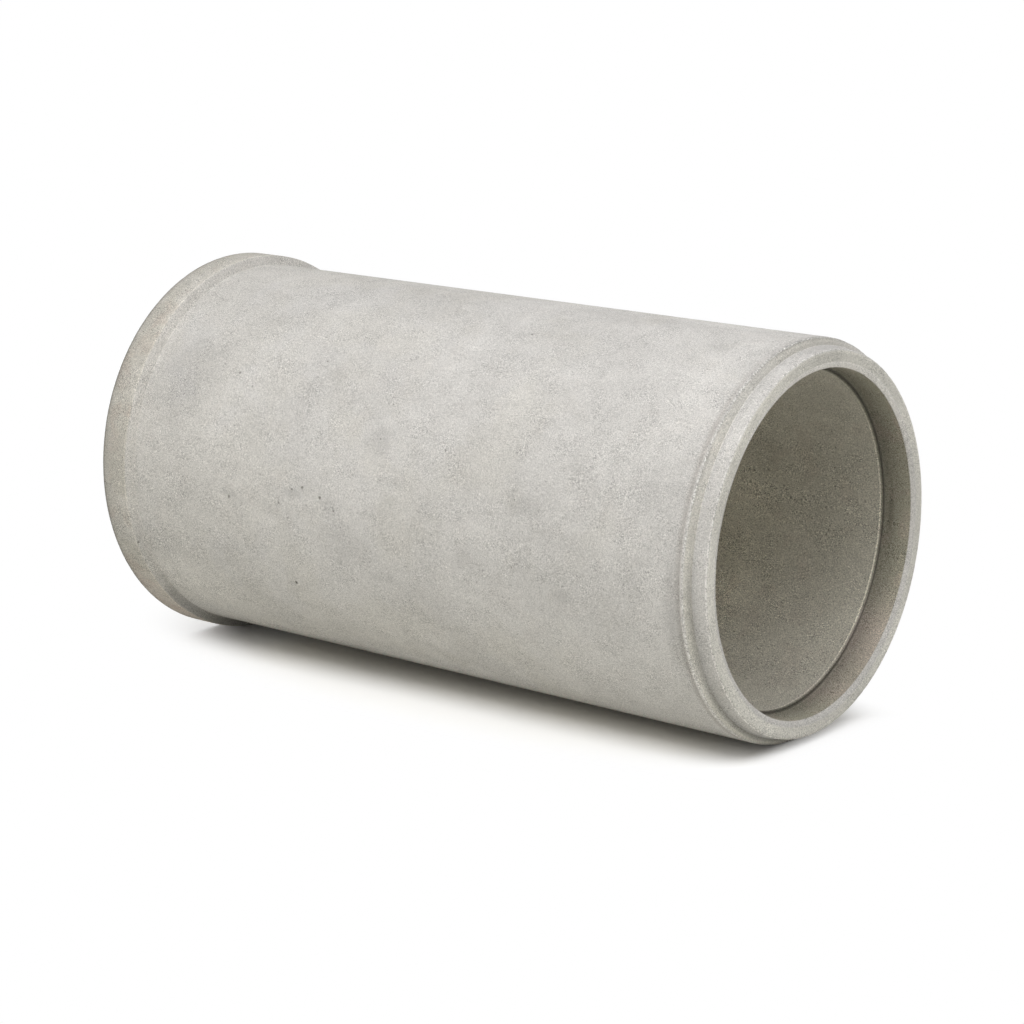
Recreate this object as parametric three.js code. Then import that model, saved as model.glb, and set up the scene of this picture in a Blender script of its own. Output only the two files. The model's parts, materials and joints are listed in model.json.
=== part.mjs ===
// Concrete sewer pipe, cast in one piece: a plain round barrel with a collar round the
// socket at one end and a stepped, slightly tapered spigot at the other.
// Millimetres, +Z up. The pipe lies on a level floor with its spigot towards +X.
import * as THREE from 'three';
import { mergeVertices } from 'three/addons/utils/BufferGeometryUtils.js';

// Barrel
const BORE_RADIUS = 225;
const BARREL_WALL = 43;
const BARREL_LENGTH = 959;

// Spigot: a sloping shoulder steps down from the barrel to a short tapered ring
const SHOULDER_LENGTH = 7;
const SHOULDER_STEP = 10;
const SPIGOT_LENGTH = 21;
const SPIGOT_TAPER = 3;

// Recess inside the spigot: wider than the bore, with a bevelled mouth and a narrow ledge
const RECESS_DEPTH = 44.5;
const RECESS_STEP = 6;
const MOUTH_BEVEL_LENGTH = 3.5;
const MOUTH_BEVEL_WIDTH = 6;

// Collar at the other end, round a socket that takes the spigot of the next pipe
const COLLAR_LENGTH = 47;
const COLLAR_RISE = 13;
const COLLAR_SHOULDER_LENGTH = 6;
const JOINT_CLEARANCE = 3;

// Radii that soften the edges left by the mould
const COLLAR_EDGE_ROUND = 4;
const BARREL_EDGE_ROUND = 2;
const FACE_EDGE_ROUND = 2.5;
const BORE_EDGE_ROUND = 1.5;

// Fineness of the faceted surface
const SEGMENTS = 96;
const ARC_STEPS = 3;
const WELD_TOLERANCE = 0.001;

const concrete = new THREE.MeshStandardMaterial({
  color: 0xcbc8c3,
  roughness: 0.9,
  metalness: 0,
});

// A corner of the wall's section: station along the axis from the collar's end, radius
// from the axis, and the radius that rounds the corner off (0 leaves it sharp).
function corner(station, radius, round = 0) {
  return { point: new THREE.Vector2(radius, station), round };
}

// Replaces each rounded corner by an arc that touches both of its sides.
function softenCorners(corners) {
  const outline = [];
  corners.forEach(({ point, round }, index) => {
    if (round === 0) {
      outline.push(point);
      return;
    }
    const before = corners.at(index - 1).point;
    const after = corners[(index + 1) % corners.length].point;
    const towardsBefore = before.clone().sub(point).normalize();
    const towardsAfter = after.clone().sub(point).normalize();
    const halfAngle = Math.acos(towardsBefore.dot(towardsAfter)) / 2;
    const bisector = towardsBefore.clone().add(towardsAfter).normalize();
    const centre = bisector.multiplyScalar(round / Math.sin(halfAngle)).add(point);
    const tangentLength = round / Math.tan(halfAngle);
    const start = towardsBefore.multiplyScalar(tangentLength).add(point).sub(centre);
    const end = towardsAfter.multiplyScalar(tangentLength).add(point).sub(centre);
    const sweep = Math.atan2(start.cross(end), start.dot(end));
    for (let step = 0; step <= ARC_STEPS; step += 1) {
      const turned = start.clone().rotateAround(new THREE.Vector2(), (sweep * step) / ARC_STEPS);
      outline.push(turned.add(centre));
    }
  });
  return outline;
}

// Outside of the wall, from the collar's end face to the spigot's end face.
function outsideCorners(stations, radii) {
  return [
    corner(0, radii.collar, COLLAR_EDGE_ROUND),
    corner(stations.collarEdge, radii.collar, COLLAR_EDGE_ROUND),
    corner(stations.barrelStart, radii.barrel),
    corner(stations.barrelEnd, radii.barrel, BARREL_EDGE_ROUND),
    corner(stations.spigotFoot, radii.spigotFoot),
    corner(stations.face, radii.spigotFoot - SPIGOT_TAPER, FACE_EDGE_ROUND),
  ];
}

// Inside of the wall, from the spigot's mouth back through the bore to the socket. The
// socket's flared mouth runs parallel to the shoulder that comes to rest in it.
function insideCorners(stations, radii) {
  const recess = BORE_RADIUS + RECESS_STEP;
  const ledge = stations.face - RECESS_DEPTH;
  const socket = radii.spigotFoot + JOINT_CLEARANCE;
  const socketDepth = SHOULDER_LENGTH + SPIGOT_LENGTH + JOINT_CLEARANCE;
  return [
    corner(stations.face, recess + MOUTH_BEVEL_WIDTH),
    corner(stations.face - MOUTH_BEVEL_LENGTH, recess),
    corner(ledge, recess),
    corner(ledge, BORE_RADIUS, BORE_EDGE_ROUND),
    corner(socketDepth, BORE_RADIUS, BORE_EDGE_ROUND),
    corner(socketDepth, socket),
    corner(SHOULDER_LENGTH, socket),
    corner(0, socket + SHOULDER_STEP),
  ];
}

function wallSection() {
  const stations = { collarEdge: COLLAR_LENGTH };
  stations.barrelStart = stations.collarEdge + COLLAR_SHOULDER_LENGTH;
  stations.barrelEnd = stations.barrelStart + BARREL_LENGTH;
  stations.spigotFoot = stations.barrelEnd + SHOULDER_LENGTH;
  stations.face = stations.spigotFoot + SPIGOT_LENGTH;
  const barrel = BORE_RADIUS + BARREL_WALL;
  const radii = {
    barrel,
    collar: barrel + COLLAR_RISE,
    spigotFoot: barrel - SHOULDER_STEP,
  };
  return softenCorners([
    ...outsideCorners(stations, radii),
    ...insideCorners(stations, radii),
  ]);
}

// The section turned once round the axis, with a flat facet, not an edge, at the underside.
function turnSection(section) {
  const halfFacet = Math.PI / SEGMENTS;
  const closed = [...section, section[0]];
  const turned = new THREE.LatheGeometry(closed, SEGMENTS, halfFacet);
  turned.deleteAttribute('normal');
  turned.deleteAttribute('uv');
  return mergeVertices(turned, WELD_TOLERANCE);
}

// The pipe lies on the collar and on the barrel's spigot end, so its axis slopes a little.
// Of all pairs of section points on either side of its middle, the floor touches the pair
// whose joining line stands furthest from the axis there.
function slopeAtRest(section) {
  const facetScale = Math.cos(Math.PI / SEGMENTS);
  const stations = section.map((point) => point.y);
  const middle = (Math.min(...stations) + Math.max(...stations)) / 2;
  let slope = 0;
  let furthest = 0;
  for (const rear of section.filter((point) => point.y < middle)) {
    for (const front of section.filter((point) => point.y >= middle)) {
      const fall = (rear.x - front.x) / (front.y - rear.y);
      const reach = rear.x - fall * (middle - rear.y);
      if (reach > furthest) {
        furthest = reach;
        slope = Math.atan(fall * facetScale);
      }
    }
  }
  return slope;
}

function buildPipe() {
  const section = wallSection();
  const pipe = new THREE.Mesh(turnSection(section), concrete);
  pipe.name = 'concrete_pipe';
  pipe.rotation.z = -Math.PI / 2;
  const lying = new THREE.Group();
  lying.add(pipe);
  lying.rotation.y = slopeAtRest(section);
  return lying;
}

// The origin is on the floor, under the middle of the pipe.
function setOnFloor(object) {
  const bounds = new THREE.Box3().setFromObject(object, true);
  const middle = bounds.getCenter(new THREE.Vector3());
  object.position.set(-middle.x, -middle.y, -bounds.min.z);
  return object;
}

const model = new THREE.Group();
model.add(setOnFloor(buildPipe()));

export default model;
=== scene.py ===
"""Concrete sewer pipe: a plain barrel with a collar round the socket at one end and a stepped,
slightly tapered spigot at the other. The pipe is cast standing on its socket and laid down after."""

import json
import math
import random
from functools import reduce
from types import SimpleNamespace

import bpy
from bpy.props import FloatProperty, FloatVectorProperty, IntProperty, PointerProperty
from mathutils import Matrix, Vector


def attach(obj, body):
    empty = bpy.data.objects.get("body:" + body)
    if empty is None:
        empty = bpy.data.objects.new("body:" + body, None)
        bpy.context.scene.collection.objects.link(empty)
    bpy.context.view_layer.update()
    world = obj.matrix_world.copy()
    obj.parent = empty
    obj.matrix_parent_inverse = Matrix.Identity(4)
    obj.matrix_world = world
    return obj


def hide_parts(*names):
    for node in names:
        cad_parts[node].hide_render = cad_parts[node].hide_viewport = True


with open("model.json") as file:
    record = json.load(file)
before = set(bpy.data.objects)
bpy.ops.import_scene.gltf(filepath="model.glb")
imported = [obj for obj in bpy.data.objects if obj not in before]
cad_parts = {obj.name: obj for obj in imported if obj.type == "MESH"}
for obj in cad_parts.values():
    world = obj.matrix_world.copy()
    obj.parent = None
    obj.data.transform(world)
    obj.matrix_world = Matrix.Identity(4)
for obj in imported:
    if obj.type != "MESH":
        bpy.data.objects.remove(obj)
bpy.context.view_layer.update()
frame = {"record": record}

bl_info = {
    "name": "Concrete sewer pipe",
    "version": (1, 0, 0),
    "blender": (4, 5, 0),
    "location": "3D View > Sidebar > Sewer pipe",
    "description": "Casts a concrete sewer pipe and lays it on a pale studio floor",
    "category": "Add Mesh",
}

MM = 0.001
BODY = "root"
CAD_PIPE = "concrete_pipe"
WHITE = (1.0, 1.0, 1.0)

# The solid turned under this finish has flat facets. A round pipe with the same clearances is
# smaller by the facet's sagitta, which this keeps.
SOLID_FACETS = 96
FACET_SCALE = math.cos(math.pi / SOLID_FACETS)


def size(name, millimetres, description):
    """A length of the pipe that a user may change."""
    return FloatProperty(
        name=name,
        description=description,
        default=millimetres * MM,
        min=0.0,
        precision=4,
        subtype="DISTANCE",
        unit="LENGTH",
    )


def strength(name, value, description):
    """A strength or brightness that a user may change."""
    return FloatProperty(name=name, description=description, default=value, min=0.0, soft_max=4.0)


def lamp_size(name, value, description):
    """The two sides of a lamp that a user may change."""
    return FloatVectorProperty(
        name=name, description=description, default=value, min=0.01, size=2, unit="LENGTH"
    )


def colour(name, value, description):
    """A linear colour that a user may change."""
    return FloatVectorProperty(
        name=name, description=description, default=value, min=0.0, max=1.0, size=3, subtype="COLOR"
    )


def angle(name, degrees, description):
    """An angle of the camera that a user may change."""
    value = math.radians(degrees)
    return FloatProperty(name=name, description=description, default=value, subtype="ANGLE")


class PipeSizes(bpy.types.PropertyGroup):
    """The mould's sizes."""

    bore_radius: size("Bore radius", 225, "Radius of the waterway")
    barrel_wall: size("Barrel wall", 43, "Thickness of the barrel's wall")
    barrel_length: size("Barrel length", 959, "From the collar's shoulder to the spigot's shoulder")
    shoulder_length: size("Shoulder length", 7, "Length of the slope down to the spigot")
    shoulder_step: size("Shoulder step", 10, "Drop from the barrel to the spigot's foot")
    spigot_length: size("Spigot length", 21, "From the spigot's foot to its end face")
    spigot_taper: size("Spigot taper", 3, "How much smaller the spigot's radius is at its face")
    recess_depth: size("Recess depth", 44.5, "Depth of the wider mouth inside the spigot")
    recess_step: size("Recess step", 6, "Width of the ledge where the recess meets the bore")
    mouth_bevel_length: size("Mouth bevel length", 3.5, "Depth of the bevel at the recess's mouth")
    mouth_bevel_width: size("Mouth bevel width", 6, "Width of the bevel at the recess's mouth")
    collar_length: size("Collar length", 47, "Length of the collar's plain band")
    collar_rise: size("Collar rise", 13, "How far the collar stands above the barrel")
    collar_shoulder: size("Collar shoulder", 6, "Length of the slope from the collar to the barrel")
    joint_clearance: size("Joint clearance", 3, "Room round a spigot in the socket")
    collar_round: size("Collar edge", 3, "Rounding of the collar's edges")
    barrel_round: size("Barrel edge", 1.8, "Rounding of the barrel's edge above the spigot")
    face_round: size("Face edge", 2.3, "Rounding of the spigot face's outer edge")
    bore_round: size("Bore edge", 1.5, "Rounding of the bore's edges")
    bead_height: size("Bead height", 0.5, "Height of the fine bead that the mould's joint leaves")
    bead_width: size("Bead width", 1.6, "Width of the fine bead at the spigot's foot")
    steps: IntProperty(name="Steps round", description="Points on each ring", default=960, min=32)


class PipeWear(bpy.types.PropertyGroup):
    """How rough the casting came out."""

    waviness: size("Waviness", 0.35, "Depth of the long low waves in the surface")
    edge_crumble: size("Edge crumble", 0.35, "Depth of the fine crumbling along edges")
    edge_chips: size("Edge chips", 0.9, "Depth of the larger chips along edges")
    pit_width: size("Pit width", 5.8, "Width of the widest air pits")
    pits_scattered: IntProperty(
        name="Scattered pits", description="Air pits away from the chosen ones", default=26, min=0
    )


class ConcreteFinish(bpy.types.PropertyGroup):
    """Colours and grain of the concrete."""

    barrel_colour: colour("Barrel", (0.625, 0.606, 0.580), "Cement on the barrel")
    warm_colour: colour("Warm cement", (0.618, 0.597, 0.562), "Cement in the warmer patches")
    collar_colour: colour("Collar", (0.492, 0.468, 0.416), "Cement on the collar")
    face_colour: colour("Face", (0.655, 0.636, 0.588), "Cement on the spigot's end face")
    shoulder_colour: colour("Shoulder", (0.622, 0.600, 0.548), "Cement on the spigot's shoulder")
    bore_colour: colour("Bore", (0.559, 0.534, 0.462), "Cement inside the bore")
    recess_colour: colour("Recess", (0.360, 0.342, 0.276), "Cement in the recess")
    recess_low_colour: colour("Recess, low", (0.446, 0.397, 0.341), "Cement low in the recess")
    bloom_colour: colour("Bloom", (0.440, 0.370, 0.320), "Faint rusty patches")
    # Painted shade in the pores, air pits and inner corners, and the dark specks and crumbs, take this
    # colour.
    speck_and_shade_colour: colour("Pores", (0.150, 0.140, 0.120), "Bottom of the pores")
    grit_colour: colour("Grit", (0.900, 0.890, 0.850), "Freshly broken grit along edges")
    clouds: strength("Clouds", 0.40, "How strongly large soft clouds change the tone")
    mottle: strength("Mottle", 0.17, "How strongly smaller blotches change the tone")
    sand: strength("Sand", 2.0, "How strongly the sandy grain changes the tone")
    rough_inside: strength("Rough inside", 0.45, "How much coarser the grain is inside the bore")
    # This also sets the strength of the patches of painted shade and light.
    stains_and_shading: strength("Stains", 1.0, "Strength of the soft stains and pale patches")
    bloom: strength("Bloom amount", 0.35, "Strength of the rusty patches")
    specks: strength("Specks", 0.24, "Strength of the dark specks")
    # The pores and the bottoms of the air pits are painted dark: painted shade in these hollows.
    pores: strength("Pores amount", 0.55, "Strength of the pores")
    pits: strength("Dark pits", 0.50, "How dark the bottoms of the air pits are")
    mould_lines: strength("Mould lines", 0.30, "Strength of the fine lines round the spigot")
    # This also sets the painted shade in the spigot's foot.
    dull_strips_and_foot_shade: strength("Dull strips", 1.0, "Strength of the dull strips beside the shoulder")
    # This also sets the painted highlight low on the barrel's edge.
    rubbed_edge_and_highlight: strength("Rubbed edge", 1.0, "How strongly the barrel's edge is rubbed pale")
    edge_pale: strength("Pale edges", 1.0, "Strength of pale grit along edges")
    joint_lines: strength("Joint lines", 1.0, "Strength of the lines that the mould's joints leave")
    edge_dark: strength("Dark edges", 0.40, "Strength of dark crumbs along edges")
    # The dark lines are painted shade and dirt in the inner corners.
    crease: strength("Creases", 0.60, "Strength of the dark lines in the corners")
    relief: size("Relief", 0.9, "Height of the sandy relief")


class PipeStage(bpy.types.PropertyGroup):
    """The floor, the light and the camera."""

    fill: strength("Fill", 0.32, "Brightness of the even light from all round")
    bank: strength("Bank", 2.05, "Brightness of the long lamp above and before the pipe")
    bank_size: lamp_size("Bank size", (7.5, 2.0), "Length and height of the long lamp")
    side_bank: strength("Side bank", 1.22, "Brightness of the lamp before the socket end")
    side_bank_size: lamp_size("Side bank size", (6.0, 2.5), "Length and height of that lamp")
    mouth_lamp: strength("Mouth lamp", 2.83, "Brightness of the lamp beyond the spigot's mouth")
    mouth_lamp_size: lamp_size("Mouth lamp size", (2.0, 3.0), "Width and height of that lamp")
    floor_colour: colour("Floor", (0.805, 0.798, 0.740), "Colour of the floor that lights the pipe")
    floor_shown: strength("Floor shown", 1.3, "How pale the floor looks near the pipe")
    shadow_oval: lamp_size("Shadow oval", (0.64, 0.24), "Half sides of the oval that shows shadow")
    shadow_offset: size("Shadow offset", 35, "How far the oval is moved towards the mouth end")
    # Painted warm bounce light from the pipe, which shows only in the floor's shadow.
    bounce_tint_colour: colour("Floor bounce tint", (1.0, 0.970, 0.895), "Tint of the floor beside the pipe")
    white_from: strength("White from", 0.80, "Share of the oval where the floor starts to turn white")
    white_to: strength("White to", 1.15, "Share of the oval where the floor is plain white")
    white_mouth: size("White at mouth", 475, "Where the floor towards the mouth turns white")
    azimuth: angle("Azimuth", 38.746, "Turn of the camera from square on to the pipe's side")
    elevation: angle("Elevation", 12.574, "Height of the camera above the floor")
    distance: FloatProperty(
        name="Distance", description="From camera to pipe", default=3.9866, unit="LENGTH"
    )
    lens: FloatProperty(
        name="Lens", description="Focal length on a 36 mm wide sensor", default=100.0, unit="CAMERA"
    )


SETTINGS = {
    "pipe_sizes": PipeSizes,
    "pipe_wear": PipeWear,
    "concrete_finish": ConcreteFinish,
    "pipe_stage": PipeStage,
}


# Where the pipe lies.


def mount(name):
    """Position and direction of one of the solid's flat faces."""
    found = [m for m in frame["record"]["mounts"] if m["name"] == name]
    if not found:
        raise RuntimeError(f"the solid has no face named {name}")
    return Vector(found[0]["pos_m"]), Vector(found[0]["axis"])


def lying_place():
    """Turns and moves a pipe that stands on the origin to where the solid lies."""
    start = mount("socket_end")[0]
    start.y = 0.0
    axis = mount("spigot_face")[1].normalized()
    across = Vector((0.0, 1.0, 0.0))
    third = axis.cross(across)
    turn = Matrix((across, third, axis)).transposed()
    return Matrix.Translation(start) @ turn.to_4x4()


# The wall, ring by ring.


def stations(sizes):
    """Places along the axis, from the collar's end face."""
    s = SimpleNamespace(flare=sizes.shoulder_length, collar_edge=sizes.collar_length)
    s.seat = s.flare + sizes.spigot_length + sizes.joint_clearance
    s.barrel_start = s.collar_edge + sizes.collar_shoulder
    s.barrel_end = s.barrel_start + sizes.barrel_length
    s.foot = s.barrel_end + sizes.shoulder_length
    s.face = s.foot + sizes.spigot_length
    s.ledge = s.face - sizes.recess_depth
    return s


def radii(sizes):
    """Distances from the axis, for a wall drawn with true circles."""
    r = SimpleNamespace(bore=sizes.bore_radius, barrel=sizes.bore_radius + sizes.barrel_wall)
    r.collar = r.barrel + sizes.collar_rise
    r.foot = r.barrel - sizes.shoulder_step
    r.face = r.foot - sizes.spigot_taper
    r.recess = r.bore + sizes.recess_step
    r.mouth = r.recess + sizes.mouth_bevel_width
    r.socket = r.foot + sizes.joint_clearance
    r.flare = r.socket + sizes.shoulder_step
    return SimpleNamespace(**{name: radius * FACET_SCALE for name, radius in vars(r).items()})


def section(sizes):
    """The places along the axis and the distances from it."""
    return stations(sizes), radii(sizes)


def wall_runs(sizes):
    """The wall's section once round from the socket's seat: each run's end and its rings."""
    s, r = section(sizes)
    near_edge = 12 * MM
    near_ledge = 9 * MM
    return [
        (s.seat, r.socket, 3),
        (s.flare, r.socket, 3),
        (0.0, r.flare, 3),
        (0.0, r.collar, 2),
        (s.collar_edge, r.collar, 6),
        (s.barrel_start, r.barrel, 4),
        (s.barrel_start + near_edge, r.barrel, 2),
        (s.barrel_end - near_edge, r.barrel, 12),
        (s.barrel_end, r.barrel, 4),
        (s.foot, r.foot, 4),
        (s.foot + 0.5 * sizes.bead_width, r.foot + sizes.bead_height, 1),
        (s.foot + sizes.bead_width, r.foot, 1),
        (s.face, r.face, 5),
        (s.face, r.mouth, 5),
        (s.face - sizes.mouth_bevel_length, r.recess, 2),
        (s.ledge, r.recess, 5),
        (s.ledge, r.bore, 3),
        (s.ledge - near_ledge, r.bore, 3),
        (s.seat, r.bore, 12),
    ]


def deselect_all():
    """Nothing stays selected or active in edit mode."""
    if bpy.context.mode != "OBJECT":
        bpy.ops.object.mode_set(mode="OBJECT")
    bpy.ops.object.select_all(action="DESELECT")


def pick(*chosen):
    """Selects only these objects and makes the first of them active."""
    deselect_all()
    for obj in chosen:
        obj.select_set(True)
    bpy.context.view_layer.objects.active = chosen[0]


def draw_ring(start, end):
    """Extrudes the selected ring from one (station, radius) to the next."""
    rise = (0.0, 0.0, end[0] - start[0])
    bpy.ops.mesh.extrude_edges_move(TRANSFORM_OT_translate={"value": rise})
    if start[1] != end[1]:
        scale = end[1] / start[1]
        bpy.ops.transform.resize(value=(scale, scale, 1.0), center_override=(0.0, 0.0, end[0]))


def draw_wall(sizes):
    """The closed wall, standing on its socket at the origin."""
    runs = wall_runs(sizes)
    deselect_all()
    start = runs[-1][:2]
    place = (0.0, 0.0, start[0])
    bpy.ops.mesh.primitive_circle_add(vertices=sizes.steps, radius=start[1], location=place)
    pipe = bpy.context.active_object
    pipe.name = "pipe_wall"
    bpy.ops.object.transform_apply(location=True, rotation=True, scale=True)
    bpy.ops.object.mode_set(mode="EDIT")
    bpy.ops.mesh.select_mode(type="EDGE")
    bpy.ops.mesh.select_all(action="SELECT")
    here = start
    for station, radius, rings in runs:
        origin = here
        for step in range(1, rings + 1):
            part = step / rings
            along = origin[0] + (station - origin[0]) * part
            outward = origin[1] + (radius - origin[1]) * part
            draw_ring(here, (along, outward))
            here = (along, outward)
    bpy.ops.mesh.select_all(action="SELECT")
    bpy.ops.mesh.remove_doubles(threshold=0.01 * MM)
    bpy.ops.mesh.normals_make_consistent(inside=False)
    bpy.ops.object.mode_set(mode="OBJECT")
    return pipe


def ring_distance(point, station, radius):
    """Distance from a point of the standing pipe to a ring round its axis."""
    return math.hypot(point.z - station, math.hypot(point.x, point.y) - radius)


def round_edge(pipe, station, radius, width, segments):
    """Bevels the ring of edges at a station and radius."""
    mesh = pipe.data
    bpy.ops.object.mode_set(mode="EDIT")
    bpy.ops.mesh.select_all(action="DESELECT")
    bpy.ops.object.mode_set(mode="OBJECT")
    on_ring = [ring_distance(v.co, station, radius) < 0.05 * MM for v in mesh.vertices]
    for edge in mesh.edges:
        edge.select = on_ring[edge.vertices[0]] and on_ring[edge.vertices[1]]
    bpy.ops.object.mode_set(mode="EDIT")
    bpy.ops.mesh.bevel(offset=width, segments=segments, profile=0.5, affect="EDGES")
    bpy.ops.object.mode_set(mode="OBJECT")


def round_edges(pipe, sizes):
    """Every edge that the mould leaves softened."""
    s, r = section(sizes)
    round_edge(pipe, 0.0, r.collar, sizes.collar_round, 3)
    round_edge(pipe, s.collar_edge, r.collar, 0.8 * sizes.collar_round, 3)
    round_edge(pipe, s.barrel_end, r.barrel, sizes.barrel_round, 3)
    round_edge(pipe, s.face, r.face, sizes.face_round, 4)
    round_edge(pipe, s.ledge, r.bore, sizes.bore_round, 3)
    round_edge(pipe, s.seat, r.bore, sizes.bore_round, 2)


def worn_rings(sizes):
    """The rings that crumble: station, radius, how far the wear reaches and how strong it is."""
    s, r = section(sizes)
    return [
        (0.0, r.collar, 4 * MM, 0.30),
        (s.barrel_end, r.barrel, 3.2 * MM, 1.0),
        (s.face - 1 * MM, r.face, 2.0 * MM, 0.75),
        (s.face, r.mouth, 1.8 * MM, 0.45),
        (s.face - sizes.mouth_bevel_length, r.recess, 1.6 * MM, 0.25),
        (s.ledge, r.bore, 2.0 * MM, 0.25),
        (0.0, r.flare, 3 * MM, 0.40),
    ]


def pale_lines(sizes):
    """Thin pale lines that the mould's joints leave: station, radius, half width and how pale."""
    s, r = section(sizes)
    return [
        (s.collar_edge - 2 * MM, r.collar, 2.4 * MM, 0.16),
        (s.barrel_start + 0.5 * MM, r.barrel, 1.6 * MM, 0.14),
        (s.foot + 0.8 * MM, r.foot + 0.3 * MM, 1.4 * MM, 0.24),
        (s.face - 1.5 * MM, r.face, 1.8 * MM, 0.20),
        (s.ledge - 3.6 * MM, r.bore, 2.0 * MM, 0.56),
    ]


def creases(sizes):
    """The inner corners that painted shade and grime darken: station, radius, how wide and how dark.
    """
    s, r = section(sizes)
    return [
        (s.barrel_end + 0.9 * MM, r.barrel - 1.3 * MM, 1.0 * MM, 0.25),
        (s.ledge + 0.3 * MM, r.recess, 1.5 * MM, 0.4),
        (s.ledge - 6.0 * MM, r.bore, 1.6 * MM, 0.22),
        (s.seat, r.socket, 6.0 * MM, 0.8),
    ]


# How soon an edge is fully worn: above 1, it is so some way off the ring too.
WORN_THROUGH = 1.4


def mark_edges(pipe, sizes):
    """A vertex group that holds how much each point crumbles."""
    group = pipe.vertex_groups.new(name="edges")
    for vertex in pipe.data.vertices:
        weight = 0.0
        for station, radius, reach, strength in worn_rings(sizes):
            distance = ring_distance(vertex.co, station, radius)
            weight = max(weight, strength * (1.0 - distance / reach))
        if weight > 0.0:
            group.add([vertex.index], min(1.0, WORN_THROUGH * weight), "REPLACE")


def cloud_texture(name, scale, depth, ramp=None):
    """A grain pattern for the casting's relief. The ramp keeps only part of its range."""
    texture = bpy.data.textures.new(name, "CLOUDS")
    texture.noise_scale = scale
    texture.noise_depth = depth
    if ramp is not None:
        texture.use_color_ramp = True
        first, last = texture.color_ramp.elements
        first.position, last.position = ramp
        first.color = (1.0, 1.0, 1.0, 1.0)
        last.color = (0.0, 0.0, 0.0, 1.0)
    return texture


def press_in(pipe, name, texture, depth, group=""):
    """Pushes the surface inwards by up to depth, after a pattern."""
    pick(pipe)
    bpy.ops.object.modifier_add(type="DISPLACE")
    relief = pipe.modifiers[-1]
    relief.name = name
    relief.texture = texture
    relief.texture_coords = "LOCAL"
    relief.direction = "NORMAL"
    relief.mid_level = 1.0
    relief.strength = depth
    relief.vertex_group = group
    bpy.ops.object.modifier_apply(modifier=name)


def roughen(pipe, sizes, wear):
    """The low waves of a dry-cast wall, and edges that crumble and chip."""
    mark_edges(pipe, sizes)
    press_in(pipe, "waves", cloud_texture("waves", 90 * MM, 2), wear.waviness)
    press_in(pipe, "crumble", cloud_texture("crumble", 2.6 * MM, 2), wear.edge_crumble, "edges")
    chips = cloud_texture("chips", 6 * MM, 2, ramp=(0.56, 0.68))
    press_in(pipe, "chips", chips, wear.edge_chips, "edges")


# Air pits that stand out on the wall: station and angle from the top towards the front, and width
# as a share of the widest.
BARREL_PITS = (
    (240 * MM, 92, 0.70),
    (248 * MM, 58, 0.65),
    (316 * MM, 77, 0.45),
    (340 * MM, 117, 1.00),
    (359 * MM, 86, 0.70),
    (378 * MM, 85, 1.00),
    (411 * MM, 87, 0.90),
    (437 * MM, 90, 0.50),
    (502 * MM, 67, 0.55),
    (615 * MM, 67, 0.65),
    (730 * MM, 118, 0.50),
    (742 * MM, 77, 0.60),
    (777 * MM, 84, 0.50),
    (920 * MM, 17, 0.65),
)
BORE_PITS = (
    (768 * MM, -91, 0.60),
    (778 * MM, -83, 0.80),
    (787 * MM, -83, 0.70),
    (789 * MM, -92, 0.60),
    (810 * MM, -82, 0.80),
    (821 * MM, -98, 0.60),
    (821 * MM, -144, 0.70),
    (847 * MM, -91, 0.90),
    (864 * MM, -91, 0.55),
    (884 * MM, -97, 0.55),
    (926 * MM, -69, 0.80),
    (962 * MM, -73, 0.60),
)


# Soft stains and pale patches, and patches of painted shade and light: darker along the barrel's
# underside and low before its end, paler across its upper middle and near its upper end, and darker
# in the recess by the ledge. Each gives station, angle from the top towards the front, half length
# along the pipe and half width round it, in millimetres, and how much lighter or darker the middle is.
WALL_STAINS_AND_SHADING = (
    (115, 58, 95, 100, -0.15),
    (590, 35, 260, 85, 0.06),
    (965, 36, 65, 160, 0.13),
    (830, 104, 230, 85, -0.08),
    (330, 156, 380, 50, -0.20),
    (130, 128, 130, 75, 0.12),
    (1000, 102, 26, 130, -0.17),
    (1011.5, 0, 4, 130, -0.18),
    (1013.3, 62, 1.6, 90, -0.16),
    (1030, -2, 12, 70, -0.14),
    (1032, 38, 11, 170, 0.08),
    (760, 4, 170, 45, -0.07),
    (900, 60, 80, 50, 0.08),
    (450, 99, 70, 40, -0.08),
    (670, 96, 34, 26, -0.11),
    (820, 86, 80, 26, -0.08),
    (560, 126, 50, 45, 0.08),
    (770, 36, 36, 34, 0.08),
    (240, 91, 19, 10, -0.13),
    (360, 87, 20, 11, -0.13),
    (428, 89, 22, 12, -0.11),
    (387, 50, 22, 13, -0.09),
    (501, 67, 34, 22, -0.12),
    (516, 108, 36, 10, -0.08),
    (757, 78, 38, 22, -0.11),
    (821, 102, 22, 16, -0.10),
    (928, 17, 26, 16, -0.11),
    (1040, 0, 3, 60, -0.12),
    (1040, 28, 3, 60, 0.11),
    (1040, 64, 3, 70, -0.07),
    (1040, -58, 3, 70, 0.07),
    (1040, -92, 3, 60, -0.06),
    (1040, -135, 3, 90, 0.11),
)
BORE_STAINS_AND_SHADING = (
    (795, -125, 60, 60, 0.08),
    (800, -74, 70, 60, -0.14),
    (1006, -90, 6, 60, -0.20),
)


def scattered_pits(sizes, wear):
    """More pits at random places on the barrel and in the bore."""
    s = stations(sizes)
    chance = random.Random(7)
    margin = 30 * MM
    found = []
    for number in range(wear.pits_scattered):
        outside = number % 3 != 0
        station = chance.uniform(s.barrel_start + margin, s.ledge - margin)
        angle = chance.uniform(0.0, 360.0)
        if outside and 20.0 < angle < 140.0:
            angle += 180.0
        found.append((outside, (station, angle, chance.uniform(0.38, 0.78))))
    return found


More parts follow.
